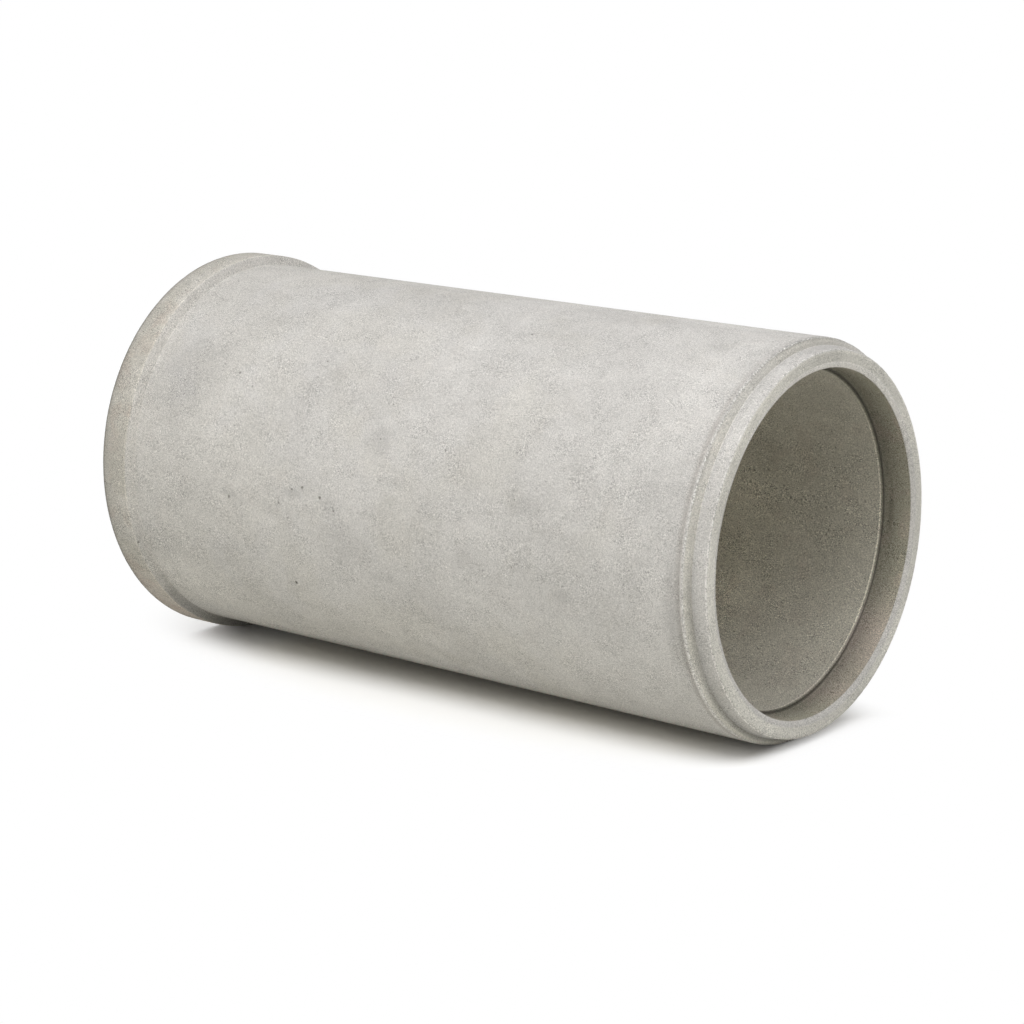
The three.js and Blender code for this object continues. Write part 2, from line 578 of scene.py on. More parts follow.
def add_pit_ball(sizes, wear, outside, pit, chance):
    """A small uneven ball that is rather more than half sunk in the wall where a pit will be."""
    r = radii(sizes)
    station, angle, share = pit
    turn = math.radians(angle)
    width = wear.pit_width * share
    wall = r.barrel - 0.5 * wear.waviness if outside else r.bore + 0.5 * wear.waviness
    lifted = 0.12 * width
    reach = wall + lifted if outside else wall - lifted
    place = Vector((-math.sin(turn) * reach, math.cos(turn) * reach, station))
    bpy.ops.mesh.primitive_ico_sphere_add(subdivisions=2, radius=0.5 * width, location=place)
    ball = bpy.context.active_object
    ball.scale = (chance.uniform(0.8, 1.2), chance.uniform(0.8, 1.2), chance.uniform(0.8, 1.3))
    ball.rotation_euler = (chance.uniform(0.0, 3.0), chance.uniform(0.0, 3.0), 0.0)
    bpy.ops.object.transform_apply(location=True, rotation=True, scale=True)
    return ball


def press_pits(pipe, sizes, wear):
    """Cuts the air pits out of the wall."""
    chance = random.Random(11)
    pits = [(True, pit) for pit in BARREL_PITS] + [(False, pit) for pit in BORE_PITS]
    pits += scattered_pits(sizes, wear)
    balls = []
    for outside, pit in pits:
        deselect_all()
        balls.append(add_pit_ball(sizes, wear, outside, pit, chance))
    pick(*balls)
    bpy.ops.object.join()
    pick(pipe)
    bpy.ops.object.modifier_add(type="BOOLEAN")
    cut = pipe.modifiers[-1]
    cut.operation = "DIFFERENCE"
    cut.solver = "EXACT"
    cut.object = balls[0]
    bpy.ops.object.modifier_apply(modifier=cut.name)
    bpy.data.objects.remove(balls[0])


class MESH_OT_sewer_pipe(bpy.types.Operator):
    """Casts the pipe wall, finishes it and lays it where the solid lies"""

    bl_idname = "mesh.sewer_pipe"
    bl_label = "Sewer pipe"

    def execute(self, context):
        sizes = context.scene.pipe_sizes
        wear = context.scene.pipe_wear
        pipe = draw_wall(sizes)
        round_edges(pipe, sizes)
        roughen(pipe, sizes, wear)
        press_pits(pipe, sizes, wear)
        pipe.matrix_world = lying_place()
        pick(pipe)
        bpy.ops.object.transform_apply(location=True, rotation=True, scale=True)
        bpy.ops.object.shade_smooth_by_angle(angle=math.radians(32))
        pipe.data.materials.append(concrete(sizes, context.scene.concrete_finish))
        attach(pipe, BODY)
        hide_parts(CAD_PIPE)
        return {"FINISHED"}


# Concrete.


class Nodes:
    """Adds nodes to a node tree. Each method gives back the socket that carries its result."""

    def __init__(self, tree):
        self.tree = tree

    def add(self, kind, inputs, **settings):
        """One node, with its settings, and inputs that are linked or set."""
        node = self.tree.nodes.new("ShaderNode" + kind)
        for name, value in settings.items():
            setattr(node, name, value)
        for name, value in inputs.items():
            self.feed(node.inputs[name], value)
        return node

    def feed(self, socket, value):
        """Links or sets an input. A colour that is set is opaque."""
        if isinstance(value, bpy.types.NodeSocket):
            self.tree.links.new(value, socket)
        elif socket.type == "RGBA":
            socket.default_value = (*value, 1.0)
        else:
            socket.default_value = value

    def calc(self, operation, first, second=0.0, third=0.0):
        """Arithmetic on up to three numbers."""
        inputs = {0: first, 1: second, 2: third}
        return self.add("Math", inputs, operation=operation).outputs[0]

    def times(self, *factors):
        """The product of two or more numbers."""
        return reduce(lambda first, second: self.calc("MULTIPLY", first, second), factors)

    def plus(self, first, second):
        return self.calc("ADD", first, second)

    def minus(self, first, second):
        return self.calc("SUBTRACT", first, second)

    def rest(self, share):
        """What a share leaves of 1."""
        return self.minus(1.0, share)

    def most(self, *values):
        """The largest of two or more numbers."""
        return reduce(lambda first, second: self.calc("MAXIMUM", first, second), values)

    def linear(self, value, slope, offset):
        """A value times a slope, plus an offset."""
        return self.calc("MULTIPLY_ADD", value, slope, offset)

    def vector(self, operation, first, second=(0.0, 0.0, 0.0)):
        """Arithmetic on vectors."""
        return self.add("VectorMath", {0: first, 1: second}, operation=operation).outputs[0]

    def length(self, vector):
        return self.add("VectorMath", {0: vector}, operation="LENGTH").outputs["Value"]

    def ramp(self, value, start, end, low=0.0, high=1.0):
        """A smooth step from low to high as the value goes from start to end."""
        inputs = {"Value": value, "From Min": start, "From Max": end, "To Min": low, "To Max": high}
        return self.add("MapRange", inputs, interpolation_type="SMOOTHSTEP").outputs["Result"]

    def beside(self, value, edge, start, end):
        """A smooth step near an edge, whose start and end are millimetres from it."""
        return self.ramp(value, edge + start * MM, edge + end * MM)

    def between(self, value, start, end, soft):
        """1 from start to end, falling to 0 over a soft width on both sides."""
        rise = self.ramp(value, start - soft, start + soft)
        fall = self.ramp(value, end + soft, end - soft)
        return self.times(rise, fall)

    def noise(self, where, grain, detail=2.0, roughness=0.5, distortion=0.0):
        """Soft random clouds whose size is the grain in metres."""
        inputs = {"Vector": where, "Scale": 1.0 / grain, "Detail": detail}
        inputs |= {"Roughness": roughness, "Distortion": distortion}
        return self.add("TexNoise", inputs).outputs["Fac"]

    def blend(self, amount, under, over):
        """A colour that goes from under to over."""
        inputs = {0: amount, 6: under, 7: over}
        return self.add("Mix", inputs, data_type="RGBA").outputs[2]

    def mix(self, amount, first, second):
        """A number that goes from first to second."""
        inputs = {0: amount, 2: first, 3: second}
        return self.add("Mix", inputs, data_type="FLOAT").outputs[0]

    def course(self, value, stops, unit=1.0):
        """A number that follows straight lines from stop to stop, each a (value, result) pair."""
        first, last = stops[0][0], stops[-1][0]
        inputs = {"Value": value, "From Min": first * unit, "From Max": last * unit}
        part = self.add("MapRange", inputs).outputs["Result"]
        node = self.add("ValToRGB", {"Fac": part})
        elements = node.color_ramp.elements
        for place, _ in stops[1:-1]:
            elements.new((place - first) / (last - first))
        for element, (_, result) in zip(elements, stops):
            element.color = (0.5 * result, 0.5 * result, 0.5 * result, 1.0)
        doubled = self.add("SeparateColor", {0: node.outputs["Color"]}).outputs[0]
        return self.times(doubled, 2.0)

    def scale(self, vector, factor):
        """A vector or colour times a number."""
        return self.add("VectorMath", {0: vector, "Scale": factor}, operation="SCALE").outputs[0]


def pipe_coordinates(nodes):
    """Where a point of the pipe is: its place with the axis along X, its station and its radius,
    and how far up and how far back it faces, from -1 to 1."""
    start = mount("socket_end")[0]
    axis = mount("spigot_face")[1]
    inputs = {
        "Vector": nodes.add("TexCoord", {}).outputs["Object"],
        "Location": (start.x, 0.0, start.z),
        "Rotation": (0.0, math.atan2(-axis.z, axis.x), 0.0),
    }
    where = nodes.add("Mapping", inputs, vector_type="TEXTURE").outputs[0]
    along, across, height = nodes.add("SeparateXYZ", {"Vector": where}).outputs
    radius = nodes.calc("SQRT", nodes.linear(height, height, nodes.times(across, across)))
    up = nodes.calc("DIVIDE", height, radius)
    back = nodes.calc("DIVIDE", across, radius)
    return SimpleNamespace(where=where, station=along, radius=radius, up=up, back=back)


def ring_gap(nodes, at, ring):
    """Distance from a ring round the axis."""
    along = nodes.minus(at.station, ring[0])
    outward = nodes.minus(at.radius, ring[1])
    return nodes.calc("SQRT", nodes.linear(along, along, nodes.times(outward, outward)))


def nearest_ring(nodes, at, rings):
    """How near the closest of some rings is, times that ring's strength, as a mask."""
    gaps = [ring_gap(nodes, at, ring) for ring in rings]
    near = [nodes.ramp(gap, 0.0, ring[2], ring[3], 0.0) for gap, ring in zip(gaps, rings)]
    return nodes.most(*near)


def pores(nodes, where, spacing, largest, share_kept):
    """Small round holes, one in some of the cells of a random grid. 1 in a hole, else 0."""
    cells = nodes.add("TexVoronoi", {"Vector": where, "Scale": 1.0 / spacing})
    chance = nodes.add("SeparateColor", {0: cells.outputs["Color"]}).outputs
    radius = nodes.ramp(chance[0], 1.0 - share_kept, 1.0, 0.0, largest / spacing)
    edge = nodes.minus(radius, cells.outputs["Distance"])
    return nodes.ramp(edge, 0.0, 0.3 * largest / spacing)


def streaks(nodes, at, width, turns):
    """Fine lines that run round the pipe, as a turned mould leaves them."""
    across = nodes.calc("DIVIDE", nodes.plus(at.station, at.radius), width)
    inputs = {"X": across, "Y": nodes.times(at.back, turns), "Z": nodes.times(at.up, turns)}
    where = nodes.add("CombineXYZ", inputs).outputs[0]
    return nodes.add("TexNoise", {"Vector": where, "Scale": 1.0, "Detail": 1.0}).outputs["Fac"]


def zones(nodes, at, sizes):
    """Where each part of the casting is, as soft masks from 0 to 1."""
    s, r = section(sizes)
    station = at.station
    radius = at.radius
    bevel_end = s.face - sizes.mouth_bevel_length
    within = nodes.beside(radius, r.mouth, 3, 1)
    under_face = nodes.beside(station, bevel_end, -0.2, -1.4)
    in_socket = nodes.times(
        nodes.beside(station, s.seat, 3, 1),
        nodes.beside(radius, r.flare, 1, -2),
    )
    inside = nodes.most(nodes.times(within, under_face), in_socket)
    outside = nodes.rest(within)
    past_edge = nodes.plus(station, nodes.minus(radius, s.ledge + r.bore))
    sunk_outside = nodes.times(
        nodes.beside(radius, r.barrel, -0.5, -0.9),
        nodes.between(station, s.barrel_start + 6 * MM, s.barrel_end - 6 * MM, 0.5 * MM),
        outside,
    )
    sunk_inside = nodes.times(
        nodes.beside(radius, r.bore, 0.5, 0.9),
        nodes.between(station, s.seat + 6 * MM, s.ledge - 6 * MM, 0.5 * MM),
    )
    from_edge = nodes.minus(station, s.barrel_end)
    dull = [(-13, 0.0), (-9, 0.65), (-6, 1.0), (-4.5, 1.0), (-2.5, 0.2), (0, 0.0)]
    strip = nodes.course(from_edge, dull, MM)
    shoulder = nodes.between(station, s.barrel_end + 0.5 * MM, s.foot + 0.5 * MM, 1.2 * MM)
    spigot = nodes.beside(station, s.foot, -1, 1)
    face = nodes.beside(station, s.face, -1, -0.2)
    rim = nodes.beside(station, s.face, -6, -4)
    bevel = nodes.beside(station, bevel_end, -0.2, 0.4)
    collar = nodes.beside(station, s.collar_edge, 1, -2)
    collar = nodes.times(collar, nodes.rest(inside))
    return SimpleNamespace(
        inside=inside,
        outside=outside,
        waterway=nodes.times(inside, nodes.rest(in_socket)),
        past_edge=past_edge,
        recess=nodes.times(inside, nodes.ramp(past_edge, -3.0 * MM, -0.8 * MM)),
        bevel=nodes.times(bevel, within),
        pit=nodes.mix(inside, sunk_outside, sunk_inside),
        strip=nodes.times(strip, outside, nodes.ramp(at.up, 0.98, 0.60, 0.35, 1.0)),
        left=nodes.beside(station, s.barrel_start, 450, 40),
        collar=collar,
        collar_end=nodes.beside(radius, r.collar, -4, -1.5),
        rusty=nodes.times(collar, nodes.ramp(at.up, -0.45, -0.85)),
        slope=nodes.between(station, s.collar_edge, s.barrel_start, 1.5 * MM),
        shoulder=nodes.times(shoulder, outside),
        spigot=nodes.times(spigot, outside),
        face=nodes.times(face, outside),
        rim=nodes.times(rim, outside),
        low=nodes.ramp(at.up, -0.10, -0.80),
    )


def cement(nodes, at, zone, finish):
    """The cement's colour. The collar, the shoulder and the inside differ a little."""
    where = at.where
    drift = nodes.noise(where, 110 * MM, 3.0, 0.55)
    warm = nodes.plus(drift, nodes.linear(at.station, -0.25, 0.12))
    warm = nodes.ramp(warm, 0.42, 0.62)
    colour = nodes.blend(warm, finish.barrel_colour, finish.warm_colour)
    patchy = nodes.ramp(nodes.noise(where, 70 * MM, 3.0, 0.6), 0.35, 0.62, 0.55, 1.0)
    colour = nodes.blend(nodes.times(zone.collar, patchy), colour, finish.collar_colour)
    colour = nodes.blend(nodes.times(zone.shoulder, patchy), colour, finish.shoulder_colour)
    colour = nodes.blend(zone.face, colour, finish.face_colour)
    colour = nodes.blend(zone.inside, colour, finish.bore_colour)
    rosy = nodes.between(nodes.linear(drift, 0.5, at.up), -0.66, -0.24, 0.14)
    recess = nodes.blend(rosy, finish.recess_colour, finish.recess_low_colour)
    colour = nodes.blend(zone.recess, colour, recess)

    # Faint rusty bloom from the sand, mostly on the collar and low in the recess.
    bloom = nodes.ramp(nodes.noise(where, 45 * MM, 3.0, 0.6, 0.4), 0.50, 0.66)
    likely = nodes.most(zone.collar, nodes.times(zone.inside, 0.4), zone.recess)
    bloom = nodes.times(bloom, nodes.plus(likely, 0.12))
    bloom = nodes.linear(zone.strip, 0.7, bloom)
    bloom = nodes.linear(zone.rusty, 1.5, bloom)
    return nodes.blend(nodes.times(bloom, finish.bloom), colour, finish.bloom_colour)


def stains_and_shading(nodes, at, table):
    """The sum of soft stained patches and patches of painted shade and light, with ragged outlines:
    above 0 where paler, below 0 where darker.
    """
    reach = 250 * MM
    ragged = nodes.add("TexNoise", {"Vector": at.where, "Scale": 1.0 / (22 * MM), "Detail": 3.0})
    ragged = nodes.vector("SUBTRACT", ragged.outputs["Color"], (0.5, 0.5, 0.5))
    ragged = nodes.scale(ragged, 0.7)
    inputs = {"X": nodes.calc("DIVIDE", at.station, reach), "Y": at.back, "Z": at.up}
    place = nodes.scale(nodes.add("CombineXYZ", inputs).outputs[0], reach)
    total = 0.0
    for station, angle, half_length, half_width, amount in table:
        turn = math.radians(angle)
        middle = (station * MM, -math.sin(turn) * reach, math.cos(turn) * reach)
        sides = (half_length * MM, half_width * MM, half_width * MM)
        share = nodes.vector("DIVIDE", nodes.vector("SUBTRACT", place, middle), sides)
        away = nodes.length(nodes.vector("ADD", share, ragged))
        total = nodes.plus(total, nodes.ramp(away, 0.25, 1.0, amount, 0.0))
    return total


def wear_and_shading_tone(nodes, at, zone, sizes, finish):
    """How handling, damp and grime, and painted light and shade, make each part of the casting lighter
    or darker. A course gives the tone from stop to stop, along the pipe in millimetres or from its
    underside to its top."""
    s, r = section(sizes)
    station = at.station
    up = at.up
    # The collar is darkest at its end.
    dark_end = [(0, 0.38), (3, 0.52), (6, 0.85), (12, 0.96), (22, 0.99), (30, 1.03)]
    dark_end += [(s.collar_edge / MM, 1.07), (s.barrel_start / MM + 4, 1.0)]
    collar = nodes.times(nodes.course(station, dark_end, MM), nodes.ramp(up, 0.2, 0.9, 1.0, 1.08))
    collar = nodes.mix(zone.collar_end, 0.96, collar)
    # The collar's slope is paler than the barrel but for its underside.
    slope = nodes.course(up, [(-0.90, 0.62), (-0.77, 0.71), (-0.50, 1.0), (-0.17, 1.16), (0.60, 1.06)])
    # Painted shade darkens the spigot's foot, most on its underside and hardly at all on its upper
    # side.
    foot = [(-4, 0.0), (-2, 0.70), (0, 1.0), (3, 0.78), (9, 0.42), (18, 0.10)]
    foot.append((sizes.spigot_length / MM, 0.0))
    foot = nodes.course(nodes.minus(station, s.foot), foot, MM)
    foot_shade_by_height = [(-0.90, 0.50), (-0.50, 0.31), (-0.20, 0.28), (0.0, 0.16), (0.35, 0.0)]
    foot_shade_by_height += [(0.77, 0.02), (1.0, 0.10)]
    foot = nodes.times(foot, nodes.course(up, foot_shade_by_height), zone.outside)
    # The barrel's edge is rubbed pale and carries a painted highlight low down, and stays dull on
    # top. The shoulder follows it.
    edge = nodes.between(station, s.barrel_end - 4 * MM, s.barrel_end + 1.5 * MM, 1.5 * MM)
    edge = nodes.times(edge, zone.outside, finish.rubbed_edge_and_highlight)
    rubbed_and_highlit = [(-0.86, 1.0), (-0.64, 1.26), (-0.17, 1.26), (0.10, 1.08), (0.50, 1.02)]
    rubbed_and_highlit += [(0.82, 0.93), (1.0, 0.93)]
    rubbed_and_highlit = nodes.course(up, rubbed_and_highlit)
    shoulder = [(-0.82, 0.97), (-0.50, 1.10), (0.0, 1.03), (0.50, 1.08), (0.87, 1.0), (1.0, 0.92)]
    shoulder = nodes.course(up, shoulder)
    # The face is paler on its front and lower side, and a painted highlight lies along the upper part
    # of its rim.
    front = nodes.ramp(nodes.linear(up, 0.4, at.back), 0.1, -0.7, 1.0, 1.09)
    rim = nodes.between(at.radius, r.face - 4.5 * MM, r.face, 0.8 * MM)
    rim = nodes.times(rim, nodes.ramp(up, -0.9, 0.35, -0.06, 0.10))
    front = nodes.times(front, nodes.plus(rim, 1.0))
    bevel = nodes.times(zone.bevel, nodes.ramp(up, 0.3, 0.9, 0.0, 0.35))
    # Painted shade darkens the recess towards the ledge and on its upper side, and painted light makes
    # the bore paler further in from the mouth.
    recess_corner_shade = [(-1.5, 0.92), (-0.6, 0.80), (0.6, 0.62), (1.5, 0.36), (3.0, 0.27), (4.6, 0.46)]
    recess_corner_shade += [(6.2, 0.80), (7.5, 0.83), (9.5, 0.75), (12, 0.75), (17, 0.83), (28, 1.02)]
    recess_corner_shade += [(35, 1.14), (42, 1.25)]
    turned = [(-0.98, 0.94), (-0.86, 1.02), (-0.50, 1.12), (-0.10, 1.04), (0.10, 1.0)]
    turned += [(0.35, 0.88), (0.94, 0.93)]
    recess = nodes.times(nodes.course(zone.past_edge, recess_corner_shade, MM), nodes.course(up, turned))
    depth = (s.seat - s.ledge) / MM
    bore = [(depth, 1.10), (depth + 150, 1.36), (-210, 1.40), (-175, 1.26), (-135, 1.17)]
    bore += [(-95, 1.07), (-20, 1.02)]
    bore = nodes.course(nodes.minus(station, s.ledge), bore, MM)
    turned = [(-0.95, 0.86), (-0.87, 0.95), (-0.64, 1.02), (-0.50, 0.99), (-0.34, 0.98)]
    turned += [(0.20, 1.0), (0.70, 0.98)]
    bore = nodes.times(bore, nodes.course(up, turned))
    # Stains, and patches of painted shade and light.
    patches = nodes.times(stains_and_shading(nodes, at, WALL_STAINS_AND_SHADING), zone.outside)
    patches = nodes.mix(zone.inside, patches, stains_and_shading(nodes, at, BORE_STAINS_AND_SHADING))
    return nodes.times(
        nodes.mix(zone.collar, 1.0, collar),
        nodes.mix(zone.slope, 1.0, slope),
        nodes.linear(zone.strip, -0.14 * finish.dull_strips_and_foot_shade, 1.0),
        nodes.linear(foot, -finish.dull_strips_and_foot_shade, 1.0),
        nodes.mix(edge, 1.0, rubbed_and_highlit),
        nodes.mix(zone.shoulder, 1.0, shoulder),
        nodes.mix(zone.face, 1.0, front),
        nodes.plus(bevel, 1.0),
        nodes.mix(nodes.minus(zone.inside, zone.recess), 1.0, bore),
        nodes.mix(zone.recess, 1.0, recess),
        nodes.linear(patches, finish.stains_and_shading, 1.0),
        nodes.linear(zone.rusty, 0.13, 1.0),
    )


def sand_grain(nodes, at, zone, finish):
    """The sand's grain, coarse and fine, the rough patches, and how coarse each part is."""
    rough = nodes.ramp(nodes.noise(at.where, 38 * MM, 5.0, 0.68, 0.5), 0.42, 0.64)
    sand = nodes.noise(at.where, 2.4 * MM, 3.0, 0.85)
    grit = nodes.noise(at.where, 1.1 * MM, 1.0, 0.5)
    fine = nodes.times(nodes.minus(grit, 0.5), nodes.mix(zone.waterway, 1.27, 1.8))
    grain = nodes.times(nodes.minus(sand, 0.5), nodes.mix(zone.waterway, 0.95, 0.45))
    coarse = nodes.linear(zone.waterway, finish.rough_inside, 1.0)
    for part, more in ((zone.collar, 0.2), (zone.left, 0.16), (zone.low, 0.14)):
        coarse = nodes.linear(part, more, coarse)
    grain = nodes.times(nodes.plus(grain, fine), coarse, nodes.ramp(rough, 0.0, 1.0, 0.8, 1.25))
    return SimpleNamespace(grain=grain, rough=rough, sand=sand, grit=grit, coarse=coarse)


def marked(nodes, at, zone, rough, finish):
    """Where dark specks, pores and air pits are. Specks gather in places, and air left fine pores
    in the rough patches and a few larger ones."""
    gathered = nodes.ramp(nodes.noise(at.where, 20 * MM, 3.0, 0.6), 0.54, 0.66, 0.12, 1.0)
    specks = nodes.ramp(nodes.noise(at.where, 1.5 * MM, 2.0, 0.6), 0.60, 0.72)
    pinholes = nodes.times(pores(nodes, at.where, 4.2 * MM, 1.0 * MM, 0.35), rough)
    holes = nodes.most(pinholes, pores(nodes, at.where, 24 * MM, 2.2 * MM, 0.16))
    specks = nodes.times(specks, gathered, finish.specks)
    # Dark specks, and painted shade in the pores and the air pits' bottoms.
    specks_and_hollow_shade = nodes.most(specks, nodes.times(holes, finish.pores), nodes.times(zone.pit, finish.pits))
    return holes, specks_and_hollow_shade


def edge_wear(nodes, at, zone, colour, sizes, finish):
    """Edges show fresh grit and dark crumbs in short dashes, and the mould's joints pale lines."""
    dashes = nodes.noise(at.where, 2.3 * MM, 2.0, 0.6)
    line = nearest_ring(nodes, at, pale_lines(sizes))
    line = nodes.times(line, nodes.ramp(dashes, 0.34, 0.60, 0.5, 1.3))
    turned = [(-1.0, 0.7), (-0.80, 0.9), (-0.50, 1.35), (-0.25, 1.5), (0.0, 1.1)]
    turned += [(0.50, 0.6), (0.80, 0.0)]
    line = nodes.times(line, nodes.mix(zone.inside, 1.0, nodes.course(at.up, turned)))
    low_bead = nodes.times(zone.spigot, nodes.ramp(at.up, 0.35, 0.0), nodes.rest(zone.rim))
    low_rim = nodes.times(zone.rim, nodes.ramp(at.up, 0.6, 0.1))
    line = nodes.times(line, nodes.plus(1.0, nodes.minus(low_rim, low_bead)))
    colour = nodes.scale(colour, nodes.linear(line, finish.joint_lines, 1.0))

    worn = nearest_ring(nodes, at, worn_rings(sizes))
    groups = nodes.ramp(nodes.noise(at.where, 13 * MM, 2.0, 0.6), 0.38, 0.62, 0.30, 1.0)
    pale = nodes.times(nodes.ramp(dashes, 0.51, 0.56), nodes.ramp(worn, 0.32, 0.58), groups)
    pale = nodes.times(pale, finish.edge_pale)
    dark = nodes.times(nodes.ramp(dashes, 0.48, 0.40), nodes.ramp(worn, 0.0, 0.4), finish.edge_dark)
    fresh = nodes.blend(nodes.times(zone.inside, 0.45), finish.grit_colour, colour)
    colour = nodes.blend(pale, colour, fresh)
    return nodes.blend(dark, colour, finish.speck_and_shade_colour)


def concrete(sizes, finish):
    """Dry-cast concrete: sandy grain, low clouds, pores, warmer patches and paler worn edges."""
    material = bpy.data.materials.new("cast_concrete")
    material.use_nodes = True
    nodes = Nodes(material.node_tree)
    shader = material.node_tree.nodes["Principled BSDF"]
    at = pipe_coordinates(nodes)
    zone = zones(nodes, at, sizes)
    colour = cement(nodes, at, zone, finish)

    # Clouds, blotches and sand grain change how light the cement is.
    surface = sand_grain(nodes, at, zone, finish)
    clouds = nodes.noise(at.where, 180 * MM, 4.0, 0.6, 0.3)
    stretched = nodes.vector("MULTIPLY", at.where, (0.6, 1.0, 1.0))
    mottle = nodes.noise(stretched, 22 * MM, 2.0, 0.55, 0.2)
    lines = streaks(nodes, at, 1.3 * MM, 2.0)
    lined = nodes.most(zone.shoulder, nodes.times(zone.spigot, 0.5))
    lined = nodes.times(lined, finish.mould_lines)
    tone = nodes.linear(clouds, finish.clouds, 1.0 - 0.5 * finish.clouds - 0.5 * finish.mottle)
    tone = nodes.linear(mottle, finish.mottle, tone)
    tone = nodes.linear(surface.rough, -0.05, tone)
    tone = nodes.linear(surface.grain, 0.6 * finish.sand, tone)
    tone = nodes.linear(nodes.minus(lines, 0.5), lined, tone)
    colour = nodes.scale(colour, nodes.times(tone, wear_and_shading_tone(nodes, at, zone, sizes, finish)))

    holes, specks_and_hollow_shade = marked(nodes, at, zone, surface.rough, finish)
    # Dark specks, and painted shade in the pores and air pits.
    colour = nodes.blend(specks_and_hollow_shade, colour, finish.speck_and_shade_colour)
    colour = edge_wear(nodes, at, zone, colour, sizes, finish)

    # Painted shade and dirt darken the inner corners.
    corner_shade_and_dirt = nearest_ring(nodes, at, creases(sizes))
    corner_shade_and_dirt = nodes.times(corner_shade_and_dirt, nodes.ramp(mottle, 0.3, 0.6, 0.6, 1.0), finish.crease)
    colour = nodes.blend(corner_shade_and_dirt, colour, finish.speck_and_shade_colour)
    nodes.feed(shader.inputs["Base Color"], colour)
    nodes.feed(shader.inputs["Roughness"], nodes.ramp(surface.sand, 0.2, 0.8, 0.96, 0.82))
    shader.inputs["Specular IOR Level"].default_value = 0.35

    relief = nodes.times(nodes.linear(surface.grit, 0.35, surface.sand), surface.coarse)
    relief = nodes.minus(relief, holes)
    relief = nodes.linear(mottle, 1.2, relief)
    relief = nodes.times(nodes.linear(lines, lined, relief), finish.relief)
    bump = nodes.add("Bump", {"Height": relief, "Distance": 1.0, "Strength": 1.0})
    nodes.feed(shader.inputs["Normal"], bump.outputs["Normal"])
    return material


# Stage. The lamps face the pipe's middle, and the camera a point a little below it.
LAMP_TARGET = (0.0, 0.0, 0.28)
CAMERA_TARGET = (0.01104, -0.00095, 0.24099)


def seen_directly(nodes):
    """1 for rays that see the stage itself, from the camera, in a gloss or through glass."""
    path = nodes.add("LightPath", {}).outputs
    return nodes.most(path["Is Camera Ray"], path["Is Glossy Ray"], path["Is Transmission Ray"])


def empty_nodes(owner):
    """The node tree of a material or world, cleared."""
    owner.use_nodes = True
    owner.node_tree.nodes.clear()
    return Nodes(owner.node_tree)


def floor_material(stage):
    """A pale floor that holds the pipe's shadow and turns plain white further off."""
    material = bpy.data.materials.new("studio_floor")
    nodes = empty_nodes(material)
    lit = nodes.add("BsdfDiffuse", {"Color": stage.floor_colour})
    white = nodes.add("Emission", {"Strength": 1.0})
    place = nodes.add("TexCoord", {}).outputs["Object"]
    toward_mouth = nodes.add("SeparateXYZ", {"Vector": place}).outputs["X"]
    share = nodes.vector("SUBTRACT", place, (stage.shadow_offset, 0.0, 0.0))
    share = nodes.vector("DIVIDE", share, (*stage.shadow_oval, 1.0))
    along, across, _ = nodes.add("SeparateXYZ", {"Vector": nodes.vector("ABSOLUTE", share)}).outputs
    along = nodes.ramp(along, 0.72, 0.54)
    beside = nodes.times(along, nodes.ramp(across, 0.75, 0.15))
    # Painted warm bounce light from the pipe tints the floor beside it, and shows only in the shadow.
    bounce_tint = nodes.blend(beside, WHITE, stage.bounce_tint_colour)
    near = nodes.add("BsdfDiffuse", {"Color": nodes.scale(bounce_tint, stage.floor_shown)})
    far = nodes.ramp(nodes.length(share), stage.white_from, stage.white_to)
    fade = 65 * MM
    far = nodes.most(far, nodes.ramp(toward_mouth, stage.white_mouth, stage.white_mouth + fade))
    shown = nodes.add("MixShader", {0: far, 1: near.outputs[0], 2: white.outputs[0]})
    mixed = nodes.add("MixShader", {0: seen_directly(nodes), 1: lit.outputs[0], 2: shown.outputs[0]})
    nodes.add("OutputMaterial", {"Surface": mixed.outputs[0]})
    return material


def add_floor(stage):
    """A wide level floor."""
    deselect_all()
    bpy.ops.mesh.primitive_plane_add(size=60.0, location=(0.0, 0.0, 0.0))
    floor = bpy.context.active_object
    floor.name = "studio_floor"
    floor.data.materials.append(floor_material(stage))


def add_fill(stage):
    """An even light from all round, white where it is seen itself."""
    world = bpy.data.worlds.new("studio")
    nodes = empty_nodes(world)
    light = nodes.add("Background", {"Color": WHITE, "Strength": stage.fill})
    white = nodes.add("Background", {"Color": WHITE, "Strength": 1.0})
    mixed = nodes.add("MixShader", {0: seen_directly(nodes), 1: light.outputs[0], 2: white.outputs[0]})
    nodes.add("OutputWorld", {"Surface": mixed.outputs[0]})
    bpy.context.scene.world = world


def aim(obj, target):
    """Points a lamp or camera at a target, upright."""
    obj.rotation_euler = (target - obj.location).to_track_quat("-Z", "Y").to_euler()


def direction(turn, height):
    """A direction, turned from square on towards the mouth end, and raised."""
    level = math.cos(height)
    return Vector((math.sin(turn) * level, -math.cos(turn) * level, math.sin(height)))


def add_lamp(name, turn, height, distance, sides, brightness):
    """A flat soft lamp that faces the pipe, with its turn and height in degrees. Its power follows
    from its size and brightness."""
    deselect_all()
    target = Vector(LAMP_TARGET)
    place = target + direction(math.radians(turn), math.radians(height)) * distance
    bpy.ops.object.light_add(type="AREA", location=place)
    lamp = bpy.context.active_object
    lamp.name = name
    lamp.data.shape = "RECTANGLE"
    lamp.data.size, lamp.data.size_y = sides
    lamp.data.energy = brightness * math.pi * sides[0] * sides[1]
    lamp.visible_camera = False
    aim(lamp, target)


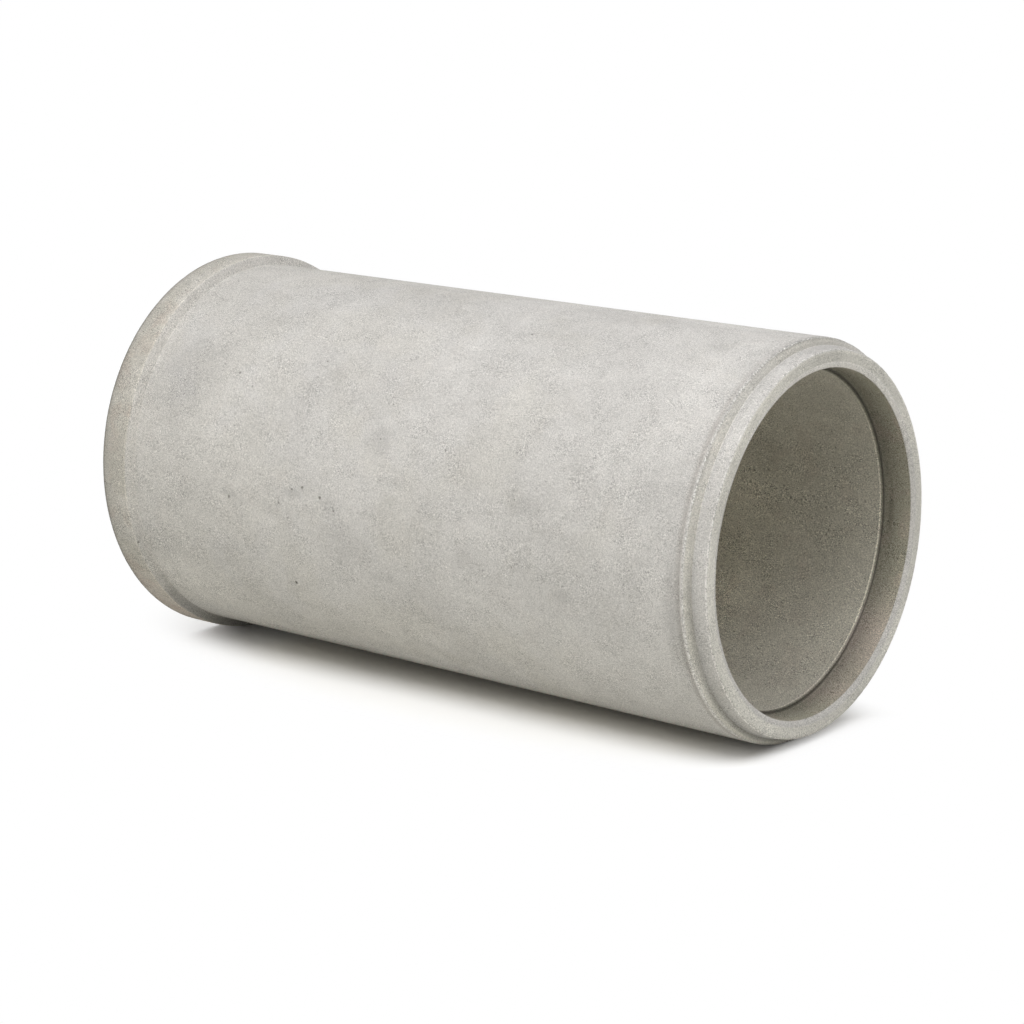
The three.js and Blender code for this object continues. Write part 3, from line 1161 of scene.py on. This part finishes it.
def add_lamps(stage):
    """A long bank above the front, one turned to the socket end, and a lamp beyond the mouth."""
    add_lamp("bank_lamp", 0, 52, 4.5, stage.bank_size, stage.bank)
    add_lamp("side_bank_lamp", -20, 45, 4.5, stage.side_bank_size, stage.side_bank)
    add_lamp("mouth_lamp", 105, 50, 4.0, stage.mouth_lamp_size, stage.mouth_lamp)


def add_camera(stage):
    """The camera, turned and raised about a point near the pipe's middle."""
    deselect_all()
    target = Vector(CAMERA_TARGET)
    back = direction(stage.azimuth, stage.elevation)
    bpy.ops.object.camera_add(location=target + back * stage.distance)
    camera = bpy.context.active_object
    camera.name = "studio_camera"
    camera.data.sensor_width = 36.0
    camera.data.lens = stage.lens
    camera.data.clip_end = 200.0
    aim(camera, target)
    bpy.context.scene.camera = camera


class SCENE_OT_pipe_stage(bpy.types.Operator):
    """Sets up the floor, the light and the camera"""

    bl_idname = "scene.pipe_stage"
    bl_label = "Studio"

    def execute(self, context):
        stage = context.scene.pipe_stage
        add_floor(stage)
        add_fill(stage)
        add_lamps(stage)
        add_camera(stage)
        context.scene.view_settings.view_transform = "Standard"
        return {"FINISHED"}


class VIEW3D_PT_sewer_pipe(bpy.types.Panel):
    """Lists the pipe's operators and settings"""

    bl_idname = "VIEW3D_PT_sewer_pipe"
    bl_label = "Sewer pipe"
    bl_space_type = "VIEW_3D"
    bl_region_type = "UI"
    bl_category = "Sewer pipe"

    def draw(self, context):
        for group in SETTINGS:
            box = self.layout.box()
            settings = getattr(context.scene, group)
            for name in settings.__annotations__:
                box.prop(settings, name)
            operator = SCENE_OT_pipe_stage if group == "pipe_stage" else MESH_OT_sewer_pipe
            box.operator(operator.bl_idname)


CLASSES = (*SETTINGS.values(), MESH_OT_sewer_pipe, SCENE_OT_pipe_stage, VIEW3D_PT_sewer_pipe)


def register():
    for cls in CLASSES:
        bpy.utils.register_class(cls)
    for name, group in SETTINGS.items():
        setattr(bpy.types.Scene, name, PointerProperty(type=group))


def unregister():
    for name in SETTINGS:
        delattr(bpy.types.Scene, name)
    for cls in reversed(CLASSES):
        bpy.utils.unregister_class(cls)


def main():
    register()
    bpy.ops.mesh.sewer_pipe()
    bpy.ops.scene.pipe_stage()


if __name__ == "__main__":
    main()
